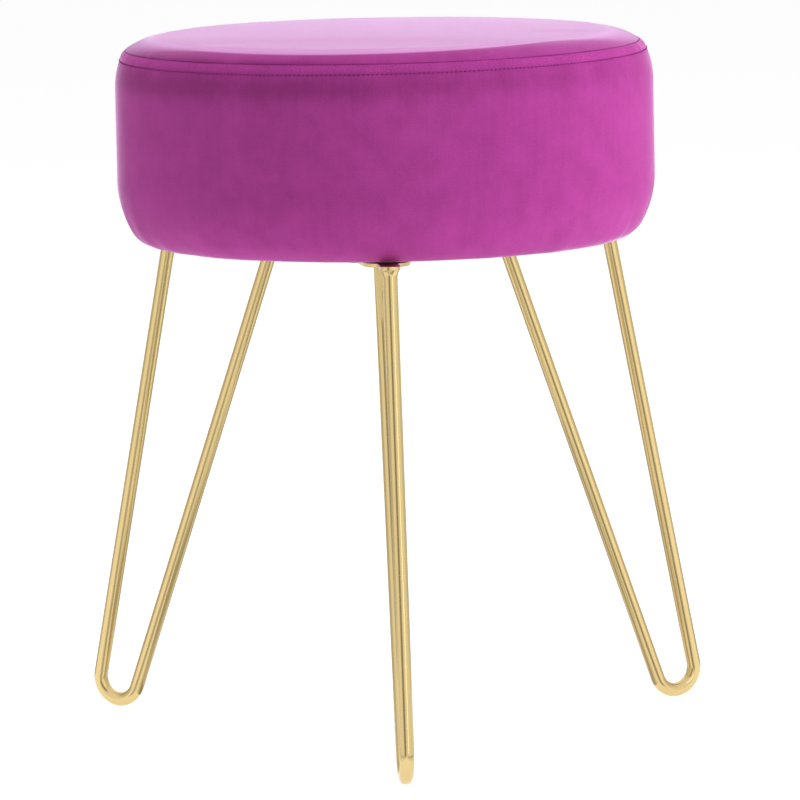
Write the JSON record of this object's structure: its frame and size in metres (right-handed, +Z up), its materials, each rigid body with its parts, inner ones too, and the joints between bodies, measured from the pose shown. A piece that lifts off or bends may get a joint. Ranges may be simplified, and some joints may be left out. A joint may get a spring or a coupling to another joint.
{
  "type": "round ottoman",
  "caption": "Round drum ottoman: a padded velvet seat with a topstitched seam, on gold hairpin legs bolted under it, for sitting on or resting the feet.",
  "frame": {"origin": "on the floor, on the axis of the round seat", "axes": "+Z up; the front leg stands towards -Y; +X is to the right of someone facing the front leg"},
  "size_m": [0.443, 0.4445, 0.499],
  "materials": {
    "velvet": "short-pile magenta velvet, soft sheen",
    "thread": "twisted polyester thread, matched to the velvet",
    "wadding": "white polyester wadding",
    "foam": "open-cell upholstery foam",
    "plywood": "raw birch plywood",
    "hardboard": "raw bent hardboard",
    "pine": "raw sawn pine",
    "zinc": "zinc-plated steel",
    "lining": "black spun-bonded lining",
    "gold": "gold-plated steel, satin"
  },
  "bodies": {
    "root": {"top_panel": "velvet", "side_band": "velvet", "topstitch_thread": "thread", "wadding": "wadding", "seat_foam": "foam", "side_foam": "foam", "seat_board": "plywood", "base_board": "plywood", "drum_wall": "hardboard", "seat_board_screws": "zinc", "base_board_screws": "zinc", "hem_staples": "zinc", "dust_cover": "lining", "dust_cover_staples": "zinc", "leg_screws": "zinc", "leg_washers": "zinc", "tee_nuts": "zinc", "strut_1": "pine", "strut_2": "pine", "strut_3": "pine", "strut_4": "pine", "strut_5": "pine", "strut_6": "pine", "front_leg_rod": "gold", "front_leg_welds": "gold", "front_leg_plate": "gold", "right_leg_rod": "gold", "right_leg_welds": "gold", "right_leg_plate": "gold", "left_leg_rod": "gold", "left_leg_welds": "gold", "left_leg_plate": "gold"}
  },
  "joints": []
}
